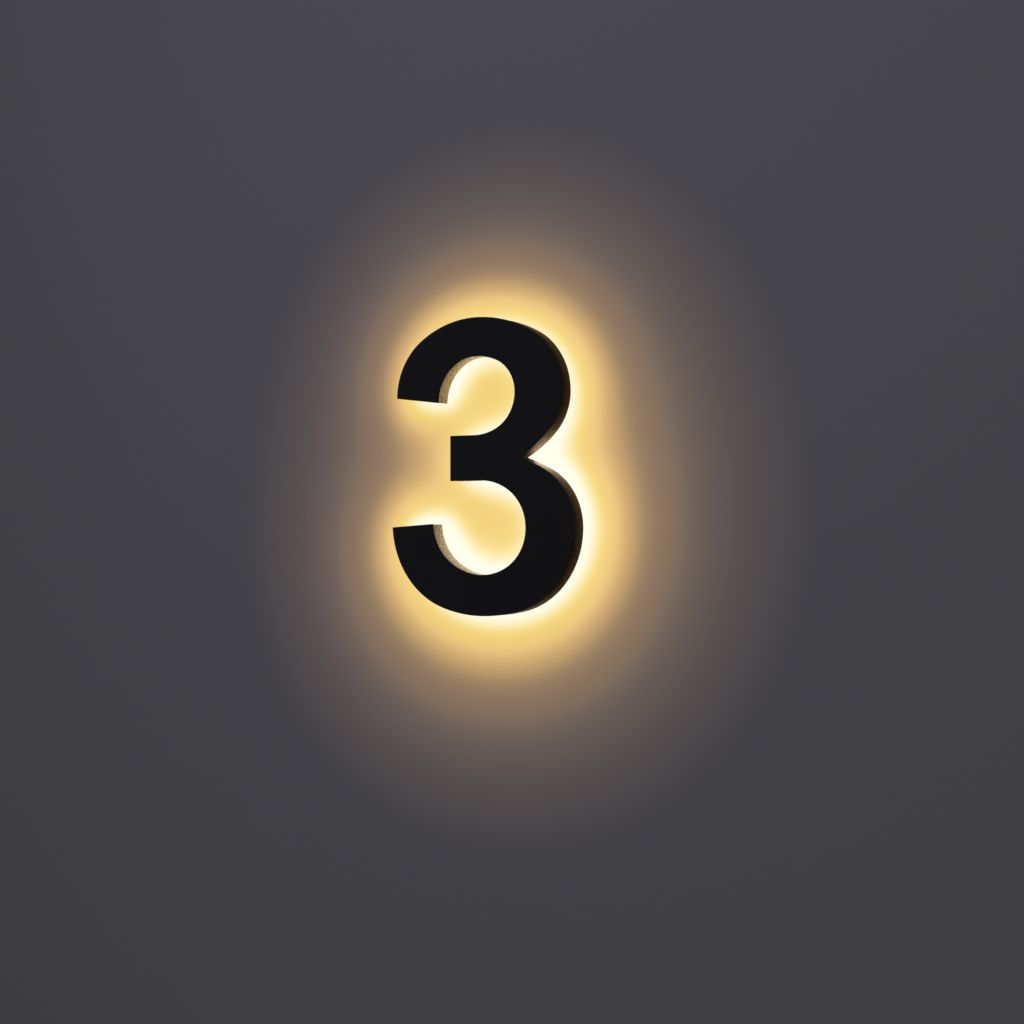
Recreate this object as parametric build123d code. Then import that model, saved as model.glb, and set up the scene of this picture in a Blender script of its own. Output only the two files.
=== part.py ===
"""Halo-lit house number "3": a fabricated metal numeral that stands off the wall.

The numeral is a shallow can.  A flat front plate and a folded return strip make the
visible shell, an opal panel closes it at the back, and low-voltage light modules on the
inside of the plate shine through the panel onto the wall behind.  Four studs, screwed
into bosses on the plate, run through the panel and its spacers into the wall.

Frame: X to the right and Z up as seen from the street, wall face at Y = 0, street
towards -Y.  The origin is the centre of the four-stud rectangle on the wall face.
Heights below are distances in front of the wall, so a height h lies at Y = -h.
Lengths are millimetres and angles are degrees.
"""
from build123d import *
from math import cos, radians, sin, sqrt
import os

os.makedirs("parts", exist_ok=True)

# ---------------------------------------------------------------- driving dimensions
# The numeral is drawn about the centre line of its stroke.
numeral_height = 400.0
top_stroke = 52.5
bottom_stroke = 55.0
bar_stroke = 61.0
upper_flank_stroke = 73.0
lower_flank_stroke = 75.0
upper_arm_stroke = 68.0
lower_arm_stroke = 66.5

upper_apex_x = -7.0
lower_apex_x = 4.0
upper_flank_x = 91.5
upper_flank_z = 97.5
lower_flank_x = 109.5
lower_flank_z = -83.0
bar_z = 11.5
bar_end_x = -47.3
bar_top_straight = 39.3
bar_bottom_straight = 48.3
upper_arm_x = -101.3
upper_arm_z = 91.4
upper_cut_fall = 7.1
upper_arm_lean = 0.0
lower_arm_x = -109.4
lower_arm_z = -78.5
lower_cut_rise = 3.5
lower_arm_lean = 3.0

# Drawing accuracy for the insets
corner_tolerance = 1e-5
meeting_steps = 8

# The bowls meet on the right in a sharp waist.
waist_x = 62.5
waist_z = 11.0
waist_upper_slope = 28.0
waist_lower_slope = 20.0

# Each quarter of a bowl is two arcs.  A lead is the first arc's share against the second's.
even_lead = 1.0
upper_shoulder_lead = 0.8
upper_waist_lead = 1.2
lower_waist_lead = 0.35
lower_heel_lead = 3.1
lower_arm_lead = 0.4
upper_counter_foot_lead = 0.6
upper_counter_top_lead = 1.9
lower_counter_heel_lead = 0.6
lower_counter_top_lead = 1.4

# Shell
standoff = 20.0
shell_depth = 24.0
plate_thickness = 2.0
plate_edge_break = 0.4
plate_overhang = 0.5
return_thickness = 1.0
seam_gap = 0.1
seam_reach = 3.0
drain_hole_radius = 2.0
drain_hole_spacing = 40.0

# Opal back panel, held by screws into tapped lugs on the returns
panel_thickness = 3.0
panel_recess = 1.5
panel_clearance = 0.5
lug_thickness = 1.5
lug_width = 14.0
lug_reach = 12.0
lug_leg_height = 9.0
lug_hole_inset = 7.0
screw_radius = 1.5
screw_length = 7.0
screw_head_radius = 2.85
screw_head_height = 1.65
screw_head_round = 1.0
screw_socket_radius = 1.0
screw_socket_depth = 1.0
screw_hole_clearance = 0.2
thread_play = 0.05

# Wall fixings: studs with an M5 shank and a thicker wall end, and what is on them
stud_spacing_x = 200.0
stud_spacing_z = 210.0
stud_radius = 2.5
stud_grip = 12.0
wall_end_radius = 3.0
wall_end_length = 35.0
stud_tip_chamfer = 0.8
stud_hole_clearance = 0.25
spacer_radius = 6.0
spacer_chamfer = 0.5
sealing_washer_radius = 7.0
backing_washer_radius = 5.0
backing_washer_thickness = 1.0
boss_across_flats = 8.0
boss_bore_spare = 1.0

# Cable inlet in the panel, behind the bar
grommet_bore_radius = 2.5
grommet_neck_radius = 5.0
grommet_flange_radius = 7.5
grommet_lip = 2.5
grommet_edge_round = 0.8
grommet_x = 22.0

# Light modules, stuck to the inside of the plate and facing the wall
module_length = 36.0
module_width = 13.0
module_height = 4.5
module_corner = 2.0
module_edge = 0.6
module_tape_thickness = 0.8
module_tape_margin = 1.0
lens_radius = 4.2
lens_height = 2.4
lens_end_margin = 9.0
lens_bevel = 1.2
string_start = 50.0
module_boss_gap = 5.0
stud_pass = 11.0
bar_module_rise = 10.0
bar_module_inset = 26.0
upper_modules_to_stud = 2
upper_modules_past_stud = 5
lower_modules_to_stud = 3
lower_modules_past_stud = 5

# Terminal block inside the bar, and the wires
block_length = 20.0
block_width = 17.0
block_height = 12.0
block_corner = 1.0
block_drop = 13.0
block_inset = 34.0
pole_spacing = 8.0
clamp_radius = 2.0
clamp_bore_radius = 1.2
clamp_recess = 1.5
block_screw_radius = 1.5
block_screw_recess = 1.0
block_screw_slot_width = 0.5
block_screw_slot_depth = 0.6
wire_radius = 0.8
wire_spacing = 3.4
wire_height = 2.8

# ---------------------------------------------------------------- layers off the wall
face_height = standoff + shell_depth
plate_back = face_height - plate_thickness
panel_back = standoff + panel_recess
panel_front = panel_back + panel_thickness
module_base = plate_back - module_tape_thickness
wire_level = module_base - wire_height

studs = [
    Vector(side * stud_spacing_x / 2, level * stud_spacing_z / 2)
    for side, level in ((-1, 1), (1, 1), (-1, -1), (1, -1))
]
drain_holes = [lower_apex_x - drain_hole_spacing / 2, lower_apex_x + drain_hole_spacing / 2]


# Headings in the drawing plane
right, up, left, down = 0, 90, 180, -90


# ---------------------------------------------------------------- drawing helpers
def layer(height):
    """Drawing plane parallel to the wall: x is X, y is Z, and it faces the street."""
    return Plane.XZ.offset(height)


def slab(sketch, base, thickness):
    """A sketch drawn on the wall face, raised to a height and thickened to the street."""
    return extrude(layer(base) * sketch, amount=thickness, dir=(0, -1, 0))


def post(point, radius, base, length):
    """A round bar square to the wall, from a height towards the street."""
    return slab(Pos(point.X, point.Y) * Circle(radius), base, length)


def heading(angle):
    """Unit direction in the drawing plane, counted from +X towards +Z."""
    return Vector(cos(radians(angle)), sin(radians(angle)))


def right_of(direction):
    """The direction turned a quarter turn clockwise."""
    return Vector(direction.Y, -direction.X)


def arc_from(start, direction, end):
    """The arc that leaves start along direction and ends at end, or the line if straight."""
    chord = end - start
    if abs(direction.cross(chord).Z) < 1e-6 * chord.length:
        return Line(start, end)
    return TangentArc(start, end, tangent=direction)


def biarc(start, start_angle, end, end_angle, lead=even_lead):
    """Two arcs, tangent to each other and to a heading at either end.

    The legs of the control triangle run along the two headings, the first one lead
    times the second.  The arcs meet on the line between the legs' ends, which they
    divide as the legs are divided.
    """
    chord = end - start
    leave = heading(start_angle)
    arrive = heading(end_angle)
    square = 2 * lead * (1 - leave.dot(arrive))
    linear = 2 * chord.dot(leave * lead + arrive)
    constant = chord.dot(chord)
    second_leg = 2 * constant / (linear + sqrt(linear ** 2 + 4 * square * constant))
    first_leg = lead * second_leg
    first_corner = start + leave * first_leg
    second_corner = end - arrive * second_leg
    joint = first_corner + (second_corner - first_corner) * (lead / (lead + 1))
    middle = (second_corner - first_corner).normalized()
    return [arc_from(start, leave, joint), arc_from(joint, middle, end)]


def smooth_path(*stations):
    """Biarcs through stations of (point, heading) or (point, heading, lead)."""
    edges = []
    for before, after in zip(stations, stations[1:]):
        lead = after[2] if len(after) > 2 else even_lead
        edges += biarc(before[0], before[1], after[0], after[1], lead)
    return edges


# ---------------------------------------------------------------- outline of the numeral
half_height = numeral_height / 2
bar_top = bar_z + bar_stroke / 2
bar_bottom = bar_z - bar_stroke / 2


def cut_corner(x, z, stroke, slope, side):
    """A corner of an arm's cut end, half a stroke left (-1) or right (+1) of its middle."""
    across = side * stroke / 2
    return Vector(x + across, z + across * sin(radians(slope)) / cos(radians(slope)))


upper_outer_corner = cut_corner(upper_arm_x, upper_arm_z, upper_arm_stroke, -upper_cut_fall, -1)
upper_inner_corner = cut_corner(upper_arm_x, upper_arm_z, upper_arm_stroke, -upper_cut_fall, 1)
lower_outer_corner = cut_corner(lower_arm_x, lower_arm_z, lower_arm_stroke, lower_cut_rise, -1)
lower_inner_corner = cut_corner(lower_arm_x, lower_arm_z, lower_arm_stroke, lower_cut_rise, 1)

upper_apex = Vector(upper_apex_x, half_height)
upper_flank = Vector(upper_flank_x + upper_flank_stroke / 2, upper_flank_z)
waist = Vector(waist_x, waist_z)
lower_flank = Vector(lower_flank_x + lower_flank_stroke / 2, lower_flank_z)
lower_apex = Vector(lower_apex_x, -half_height)

upper_counter_apex = upper_apex - Vector(0, top_stroke)
upper_counter_side = upper_flank - Vector(upper_flank_stroke, 0)
upper_counter_foot = Vector(bar_end_x + bar_top_straight, bar_top)
lower_counter_head = Vector(bar_end_x + bar_bottom_straight, bar_bottom)
lower_counter_side = lower_flank - Vector(lower_flank_stroke, 0)
lower_counter_apex = lower_apex + Vector(0, bottom_stroke)
bar_end_top = Vector(bar_end_x, bar_top)
bar_end_bottom = Vector(bar_end_x, bar_bottom)

upper_outside = smooth_path(
    (upper_outer_corner, up + upper_arm_lean),
    (upper_apex, right),
    (upper_flank, down, upper_shoulder_lead),
    (waist, left + waist_upper_slope, upper_waist_lead),
)
lower_outside = smooth_path(
    (waist, right - waist_lower_slope),
    (lower_flank, down, lower_waist_lead),
    (lower_apex, left, lower_heel_lead),
    (lower_outer_corner, up + lower_arm_lean, lower_arm_lead),
)
lower_counter = smooth_path(
    (lower_inner_corner, down + lower_arm_lean),
    (lower_counter_apex, right),
    (lower_counter_side, up, lower_counter_heel_lead),
    (lower_counter_head, left, lower_counter_top_lead),
)
upper_counter = smooth_path(
    (upper_counter_foot, right),
    (upper_counter_side, up, upper_counter_foot_lead),
    (upper_counter_apex, left, upper_counter_top_lead),
    (upper_inner_corner, down + upper_arm_lean),
)

# All the way round, clockwise as seen from the street, so the stroke is on the right.
boundary = [
    *upper_outside,
    *lower_outside,
    Line(lower_outer_corner, lower_inner_corner),
    *lower_counter,
    Line(lower_counter_head, bar_end_bottom),
    Line(bar_end_bottom, bar_end_top),
    Line(bar_end_top, upper_counter_foot),
    *upper_counter,
    Line(upper_inner_corner, upper_outer_corner),
]
outline = make_face(boundary)


def off_edge(edge, point):
    """How far a point lies off an edge's endless line or full circle, and which way."""
    if edge.geom_type == GeomType.LINE:
        away = right_of(edge % 0)
        return (point - edge @ 0).dot(away), away
    spoke = point - edge.arc_center
    return spoke.length - edge.radius, spoke.normalized()


def meeting(first, second, near):
    """Where two edges cross, or would if carried on: steps along both normals to it."""
    for _ in range(meeting_steps):
        first_gap, first_way = off_edge(first, near)
        second_gap, second_way = off_edge(second, near)
        angle_sine = first_way.cross(second_way).Z
        along_second = right_of(second_way) * (first_gap / angle_sine)
        along_first = right_of(first_way) * (second_gap / angle_sine)
        near = near + along_first - along_second
    return near


def trimmed(edge, start, end):
    """An edge's line or circle between two new ends."""
    if edge.geom_type == GeomType.LINE:
        return Line(start, end)
    clockwise = right_of(edge @ 0 - edge.arc_center).dot(edge % 0) > 0
    tangent = right_of(start - edge.arc_center) * (1 if clockwise else -1)
    return TangentArc(start, end, tangent=tangent)


def inset(amount):
    """The numeral's outline moved into the stroke all round, with its corners sharp.

    A line moves square to itself and an arc keeps its centre.  Where two edges no longer
    meet end to end, at a corner, both are cut or carried on to where they cross.
    """
    moved = [
        arc_from(
            edge @ 0 + right_of(edge % 0) * amount,
            edge % 0,
            edge @ 1 + right_of(edge % 1) * amount,
        )
        for edge in boundary
    ]
    corners = []
    for before, after in zip([moved[-1]] + moved, moved):
        corner = (before @ 1 + after @ 0) / 2
        if (before @ 1 - after @ 0).length > corner_tolerance:
            corner = meeting(before, after, corner)
        corners.append(corner)
    return make_face([
        trimmed(edge, start, end)
        for edge, start, end in zip(moved, corners, corners[1:] + corners[:1])
    ])


plate_front = inset(plate_edge_break)
return_outside = inset(plate_overhang)
return_inside = inset(plate_overhang + return_thickness)
lug_inside = inset(plate_overhang + return_thickness + lug_thickness)
panel_outline = inset(plate_overhang + return_thickness + panel_clearance)


# ---------------------------------------------------------------- shell
def make_face_plate():
    """Front plate, cut to the outline, with its street-side edge broken all round."""
    bevel_base = face_height - plate_edge_break
    body = slab(outline, plate_back, plate_thickness - plate_edge_break)
    bevel = loft([layer(bevel_base) * outline, layer(face_height) * plate_front], ruled=True)
    return body + bevel


def weld_seam(corner, side_heading, end_heading):
    """The thin slot where two return strips meet, halfway between their headings."""
    reach = 2 * (plate_overhang + return_thickness) * seam_reach
    middle = (side_heading + end_heading) / 2
    slot = Pos(corner.X, corner.Y) * Rot(0, 0, middle) * Rectangle(reach, seam_gap)
    return slab(slot, standoff, plate_back - standoff)


def make_returns():
    """The return in two bent strips that meet at the arms' inner corners.

    The outer strip also closes the arms' cut ends, and is drilled at its lowest point.
    """
    band = slab(return_outside - return_inside, standoff, plate_back - standoff)
    band -= weld_seam(upper_inner_corner, up + upper_arm_lean, left - upper_cut_fall)
    band -= weld_seam(lower_inner_corner, down + lower_arm_lean, left + lower_cut_rise)
    drain_level = (standoff + plate_back) / 2
    for x in drain_holes:
        drill = Pos(x, -drain_level, -half_height) * Cylinder(drain_hole_radius, top_stroke)
        band -= drill
    strips = band.solids().sort_by(SortBy.VOLUME)
    return strips[-1], strips[0]


def joint_station(arc):
    """The far end of an arc of the outline, and the way from there into the stroke."""
    return arc @ 1, right_of(arc % 1)


# Where the lugs stand on the return: a point of the outline and the way into the stroke.
lower_cut_middle = (lower_outer_corner + lower_inner_corner) / 2
bar_end_middle = (bar_end_top + bar_end_bottom) / 2
lug_stations = [
    joint_station(upper_outside[0]),
    (upper_apex, heading(down)),
    (upper_flank, heading(left)),
    (lower_flank, heading(left)),
    (lower_apex, heading(up)),
    joint_station(lower_outside[4]),
    (lower_cut_middle, heading(down + lower_cut_rise)),
    (lower_counter_side, heading(right)),
    (bar_end_middle, heading(right)),
    (upper_counter_side, heading(right)),
]
lug_hole_depth = plate_overhang + return_thickness + lug_hole_inset
lug_holes = [point + inwards * lug_hole_depth for point, inwards in lug_stations]


def make_panel_lugs():
    """Angle brackets welded inside the returns: a leg on the strip and a tapped tab."""
    lugs = []
    tab_depth = plate_overhang + return_thickness + lug_reach
    for (point, inwards), hole in zip(lug_stations, lug_holes):
        window = Plane(origin=point, x_dir=inwards) * Rectangle(2 * tab_depth, lug_width)
        tab = slab(return_inside & window, panel_front, lug_thickness)
        leg = slab((return_inside - lug_inside) & window, panel_front, lug_leg_height)
        lug = tab + leg
        lug -= post(hole, screw_radius + thread_play, panel_front, lug_thickness)
        lugs.append(lug)
    return lugs


def make_panel_screw(point):
    """Button-head screw that enters from the wall side."""
    shank = post(point, screw_radius, panel_back, screw_length)
    head = post(point, screw_head_radius, panel_back - screw_head_height, screw_head_height)
    rim = head.edges().filter_by(GeomType.CIRCLE).sort_by(Axis.Y)[-1]
    head = fillet(rim, screw_head_round)
    socket_base = panel_back - screw_head_height
    socket = slab(
        Pos(point.X, point.Y) * RegularPolygon(screw_socket_radius, 6),
        socket_base,
        screw_socket_depth,
    )
    return shank + head - socket


grommet_point = Vector(grommet_x, bar_z)


def make_back_panel():
    """Opal sheet that drops inside the returns, drilled for studs, screws and inlet."""
    panel = slab(panel_outline, panel_back, panel_thickness)
    for point in studs:
        panel -= post(point, stud_radius + stud_hole_clearance, panel_back, panel_thickness)
    for point in lug_holes:
        panel -= post(point, screw_radius + screw_hole_clearance, panel_back, panel_thickness)
    return panel - post(grommet_point, grommet_neck_radius, panel_back, panel_thickness)


# ---------------------------------------------------------------- wall fixings
boss_base = panel_front + backing_washer_thickness
boss_corner_radius = boss_across_flats / 2 / cos(radians(30))


def make_wall_stud(point):
    """Stud with a shank from the boss to the wall, and a thicker end inside the wall."""
    shank = post(point, stud_radius, 0, boss_base + stud_grip)
    wall_end = post(point, wall_end_radius, -wall_end_length, wall_end_length)
    tip = wall_end.edges().filter_by(GeomType.CIRCLE).sort_by(Axis.Y)[-1]
    return shank + chamfer(tip, stud_tip_chamfer)


def make_ring(point, outer, inner, base, thickness):
    """A flat ring square to the wall."""
    return post(point, outer, base, thickness) - post(point, inner, base, thickness)


def make_wall_boss(point):
    """Hexagon boss welded to the plate, tapped from the wall side for its stud."""
    hexagon = Pos(point.X, point.Y) * RegularPolygon(boss_across_flats / 2, 6, major_radius=False)
    boss = slab(hexagon, boss_base, plate_back - boss_base)
    return boss - post(point, stud_radius + thread_play, boss_base, stud_grip + boss_bore_spare)


def make_spacer(point):
    """Tube between the sealing washer and the wall, which slides on over the wall end."""
    tube = make_ring(point, spacer_radius, wall_end_radius + stud_hole_clearance, 0, standoff)
    rims = tube.edges().filter_by(GeomType.CIRCLE).group_by(SortBy.RADIUS)[-1]
    return chamfer(rims, spacer_chamfer)


def make_cable_grommet():
    """Rubber bush that snaps into the panel: a neck between two rounded flanges."""
    neck = post(grommet_point, grommet_neck_radius, panel_back, panel_thickness)
    rear_base = panel_back - grommet_lip
    rear = post(grommet_point, grommet_flange_radius, rear_base, grommet_lip)
    front = post(grommet_point, grommet_flange_radius, panel_front, grommet_lip)
    rear_rim = rear.edges().filter_by(GeomType.CIRCLE).sort_by(Axis.Y)[-1]
    front_rim = front.edges().filter_by(GeomType.CIRCLE).sort_by(Axis.Y)[0]
    rear = fillet(rear_rim, grommet_edge_round)
    front = fillet(front_rim, grommet_edge_round)
    length = panel_thickness + 2 * grommet_lip
    return neck + rear + front - post(grommet_point, grommet_bore_radius, rear_base, length)


# ---------------------------------------------------------------- light modules
# The modules stand along the middle of the stroke in two strings.  Both start at the
# bar: one climbs round the upper bowl, the other runs down round the lower bowl.  On
# the right they pass the studs, the upper string inside its stud and the lower outside.
bar_start = Vector(bar_end_x + bar_top_straight, bar_z)
upper_line = Wire(smooth_path(
    (bar_start, right),
    (Vector(studs[1].X - stud_pass, upper_flank_z), up),
    (upper_apex - Vector(0, top_stroke / 2), left),
    (Vector(upper_arm_x, upper_arm_z), down + upper_arm_lean),
))
lower_line = Wire(smooth_path(
    (bar_start, right),
    (Vector(studs[3].X + stud_pass, lower_flank_z), down),
    (lower_apex + Vector(0, bottom_stroke / 2), left),
    (Vector(lower_arm_x, lower_arm_z), up + lower_arm_lean),
))
boss_keep_off = module_length / 2 + boss_corner_radius + module_boss_gap


def distance_along(line, point):
    """How far along a line its nearest place to a point lies."""
    nearest = line.closest_points(point)[0]
    return line.param_at_point(nearest) * line.length


def seat_at(line, distance):
    """Point of a line at a distance along it, and the line's direction there."""
    point = line.position_at(distance, position_mode=PositionMode.LENGTH)
    return point, line.tangent_at(distance, position_mode=PositionMode.LENGTH)


def spread(start, end, count):
    """Even distances from start to end."""
    return [start + (end - start) * step / (count - 1) for step in range(count)]


def module_seats(line, flank_stud, arm_stud, to_stud, past_stud):
    """Seats along one string: some up to the flank's stud, the rest on to the arm's."""
    at_flank = distance_along(line, flank_stud)
    at_arm = distance_along(line, arm_stud)
    first = string_start + module_length / 2
    before = spread(first, at_flank - boss_keep_off, to_stud)
    after = spread(at_flank + boss_keep_off, at_arm - boss_keep_off, past_stud)
    return [seat_at(line, distance) for distance in before + after]


bar_module_x = bar_end_x + bar_module_inset + module_length / 2
bar_module_seat = (Vector(bar_module_x, bar_z + bar_module_rise), heading(right))
upper_string = [bar_module_seat] + module_seats(
    upper_line, studs[1], studs[0], upper_modules_to_stud, upper_modules_past_stud
)
lower_string = module_seats(
    lower_line, studs[3], studs[2], lower_modules_to_stud, lower_modules_past_stud
)


def on_plate(seat, height):
    """Plane on a seat: x along the string, z towards the wall."""
    point, along = seat
    return Plane(
        origin=(point.X, -height, point.Y),
        x_dir=(along.X, 0, along.Y),
        z_dir=(0, 1, 0),
    )


def make_module(seat):
    """Moulded module body with its rim broken."""
    footprint = RectangleRounded(module_length, module_width, module_corner)
    body = extrude(footprint, module_height)
    body = chamfer(body.faces().sort_by(Axis.Z)[-1].edges(), module_edge)
    return on_plate(seat, module_base) * body


def make_lenses(seat):
    """The two lens caps of a module."""
    cap = Cylinder(lens_radius, lens_height, align=(Align.CENTER, Align.CENTER, Align.MIN))
    cap = chamfer(cap.edges().filter_by(GeomType.CIRCLE).sort_by(Axis.Z)[-1], lens_bevel)
    base = on_plate(seat, module_base - module_height)
    lens_shift = module_length / 2 - lens_end_margin
    return [base * Pos(side * lens_shift, 0) * cap for side in (-1, 1)]


def make_tape(seat, length, width):
    """Foam tape under a module or the terminal block."""
    pad = Rectangle(length - 2 * module_tape_margin, width - 2 * module_tape_margin)
    return on_plate(seat, plate_back) * extrude(pad, module_tape_thickness)


# ---------------------------------------------------------------- terminal block and wires
block_x = bar_end_x + block_inset + block_length / 2
block_seat = (Vector(block_x, bar_z - block_drop), heading(right))
pole_shifts = {"red": -pole_spacing / 2, "black": pole_spacing / 2}
wire_shifts = {"red": -wire_spacing / 2, "black": wire_spacing / 2}
clamp_length = block_length - 2 * clamp_recess


def make_terminal_block():
    """Two-pole block: a moulded body with a clamp tunnel and a screw well for each pole."""
    body = extrude(RectangleRounded(block_length, block_width, block_corner), block_height)
    for shift in pole_shifts.values():
        tunnel = Pos(0, shift, wire_height) * Rot(0, 90, 0) * Cylinder(clamp_radius, block_length)
        body -= tunnel
        for side in (-1, 1):
            well = Pos(side * clamp_length / 4, shift, wire_height) * Cylinder(
                block_screw_radius + thread_play,
                block_height,
                align=(Align.CENTER, Align.CENTER, Align.MIN),
            )
            body -= well
    return on_plate(block_seat, module_base) * body


def make_clamps():
    """Brass tubes that grip the wires inside the block, tapped for the screws."""
    clamps = []
    for shift in pole_shifts.values():
        tube = Cylinder(clamp_radius, clamp_length) - Cylinder(clamp_bore_radius, clamp_length)
        tube = Pos(0, shift, wire_height) * Rot(0, 90, 0) * tube
        for side in (-1, 1):
            tube -= Pos(side * clamp_length / 4, shift, wire_height) * Cylinder(
                block_screw_radius + thread_play,
                block_height,
                align=(Align.CENTER, Align.CENTER, Align.MIN),
            )
        clamps.append(on_plate(block_seat, module_base) * tube)
    return clamps


def make_block_screws():
    """Slotted grub screws, two to a pole, driven from the wall side."""
    screws = []
    top = block_height - block_screw_recess
    bottom = wire_height + wire_radius
    for shift in pole_shifts.values():
        for side in (-1, 1):
            screw = Cylinder(
                block_screw_radius,
                top - bottom,
                align=(Align.CENTER, Align.CENTER, Align.MIN),
            )
            slot = Pos(0, 0, top - bottom) * Box(
                2 * block_screw_radius, block_screw_slot_width, 2 * block_screw_slot_depth
            )
            place = Pos(side * clamp_length / 4, shift, bottom)
            screws.append(on_plate(block_seat, module_base) * place * (screw - slot))
    return screws


def wire_end(seat, forward, sideways):
    """Point and heading where a wire leaves (or enters) a piece on the string."""
    point, along = seat
    aside = Vector(along.Y, -along.X)
    return point + along * forward + aside * sideways, along


def make_wire(start, leave, end, arrive):
    """Round wire along a biarc at the wires' level."""
    def angle(direction):
        return Vector(1, 0).get_signed_angle(direction, Vector(0, 0, 1))

    flat = Wire(biarc(start, angle(leave), end, angle(arrive)))
    path = layer(wire_level) * flat
    section = Plane(origin=path @ 0, z_dir=path % 0) * Circle(wire_radius)
    return sweep(section, path)


def make_jumpers(string, colour_shift):
    """One colour's wires from each module of a string to the next."""
    wires = []
    for before, after in zip(string, string[1:]):
        start, leave = wire_end(before, module_length / 2, colour_shift)
        end, arrive = wire_end(after, -module_length / 2, colour_shift)
        wires.append(make_wire(start, leave, end, arrive))
    return wires


def make_feeds(colour):
    """One colour's wires from the terminal block to the first module of each string.

    The upper string is fed from the block's left side by wires that turn back over it.
    """
    pole = pole_shifts[colour]
    wire = wire_shifts[colour]
    right_start, right = wire_end(block_seat, clamp_length / 2, pole)
    right_end, right_arrive = wire_end(lower_string[0], -module_length / 2, wire)
    left_start, forward = wire_end(block_seat, -clamp_length / 2, pole)
    left_end, left_arrive = wire_end(upper_string[0], -module_length / 2, -wire)
    return [
        make_wire(right_start, right, right_end, right_arrive),
        make_wire(left_start, forward * -1, left_end, left_arrive),
    ]


# ---------------------------------------------------------------- write the pieces
def save(node, *solids):
    """One file for one node, whether a single solid or a group of like ones."""
    shape = solids[0] if len(solids) == 1 else Compound(children=list(solids))
    export_step(shape, f"parts/{node}.step")


return_outer, return_inner = make_returns()
save("face_plate", make_face_plate())
save("return_outer", return_outer)
save("return_inner", return_inner)
save("back_panel", make_back_panel())
save("panel_lugs", *make_panel_lugs())
save("panel_screws", *[make_panel_screw(point) for point in lug_holes])

save("wall_studs", *[make_wall_stud(point) for point in studs])
save("wall_bosses", *[make_wall_boss(point) for point in studs])
save("backing_washers", *[
    make_ring(
        point,
        backing_washer_radius,
        stud_radius + stud_hole_clearance,
        panel_front,
        backing_washer_thickness,
    )
    for point in studs
])
save("sealing_washers", *[
    make_ring(
        point,
        sealing_washer_radius,
        stud_radius + thread_play,
        standoff,
        panel_back - standoff,
    )
    for point in studs
])
for name, point in zip(("upper_left", "upper_right", "lower_left", "lower_right"), studs):
    save(f"spacer_{name}", make_spacer(point))
save("cable_grommet", make_cable_grommet())

seats = upper_string + lower_string
for number, seat in enumerate(seats, start=1):
    save(f"led_module_{number:02d}", make_module(seat))
save("led_lenses", *[lens for seat in seats for lens in make_lenses(seat)])
save(
    "module_tapes",
    *[make_tape(seat, module_length, module_width) for seat in seats],
    make_tape(block_seat, block_length, block_width),
)

save("terminal_block", make_terminal_block())
save("terminal_clamps", *make_clamps())
save("terminal_screws", *make_block_screws())
save("red_jumpers", *make_jumpers(upper_string, wire_spacing / 2),
     *make_jumpers(lower_string, -wire_spacing / 2))
save("black_jumpers", *make_jumpers(upper_string, -wire_spacing / 2),
     *make_jumpers(lower_string, wire_spacing / 2))
save("red_feeds", *make_feeds("red"))
save("black_feeds", *make_feeds("black"))

print("numeral width", round(outline.bounding_box().size.X, 2))
print("modules", len(seats))
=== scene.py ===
"""Halo-lit house number "3": the finished looks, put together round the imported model.

Lengths are metres unless a name ends in _mm.  X is to the right and Z up as seen from
the street, and the wall face is at Y = 0 with the street towards -Y.  A height is a
distance in front of the wall, so a height h lies at Y = -h.
"""

import bmesh
import bpy
import numpy as np
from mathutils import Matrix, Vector


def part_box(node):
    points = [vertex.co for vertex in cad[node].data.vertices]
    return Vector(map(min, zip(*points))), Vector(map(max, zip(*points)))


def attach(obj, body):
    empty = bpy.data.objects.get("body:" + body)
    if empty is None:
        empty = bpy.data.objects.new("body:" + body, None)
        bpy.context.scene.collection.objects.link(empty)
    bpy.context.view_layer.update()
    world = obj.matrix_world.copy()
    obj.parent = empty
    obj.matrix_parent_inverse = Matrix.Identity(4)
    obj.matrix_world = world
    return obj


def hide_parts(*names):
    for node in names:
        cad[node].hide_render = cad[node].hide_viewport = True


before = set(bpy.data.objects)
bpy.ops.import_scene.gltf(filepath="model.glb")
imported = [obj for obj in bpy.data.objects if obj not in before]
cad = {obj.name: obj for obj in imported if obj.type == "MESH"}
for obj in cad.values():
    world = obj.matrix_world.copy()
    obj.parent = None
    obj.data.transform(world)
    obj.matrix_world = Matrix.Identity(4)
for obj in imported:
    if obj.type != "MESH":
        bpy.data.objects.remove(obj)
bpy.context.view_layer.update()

millimetre = 0.001


# ---------------------------------------------------------------- front plate
# A 2 mm sheet cut to the numeral's outline, with its street-side edge broken, and then
# powder-coated a smooth matt black.  It is welded on the returns and overhangs them.
def unit(heading):
    """The unit vector (x, z) at a heading in degrees, counted from +X towards +Z."""
    return np.array([np.cos(np.radians(heading)), np.sin(np.radians(heading))])


def right_of(direction):
    """Directions turned a quarter turn clockwise, which on the outline is inwards."""
    return np.stack([direction[..., 1], -direction[..., 0]], axis=-1)


def turned_by(vector, angles):
    """One vector turned by each angle: the usual sums of its sine and cosine parts."""
    return np.outer(np.cos(angles), vector) - np.outer(np.sin(angles), right_of(vector))


def turn_between(first, second):
    """The angle from one direction to another: above zero where it is anticlockwise."""
    return np.arctan2(first[0] * second[1] - first[1] * second[0], first @ second)


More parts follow.
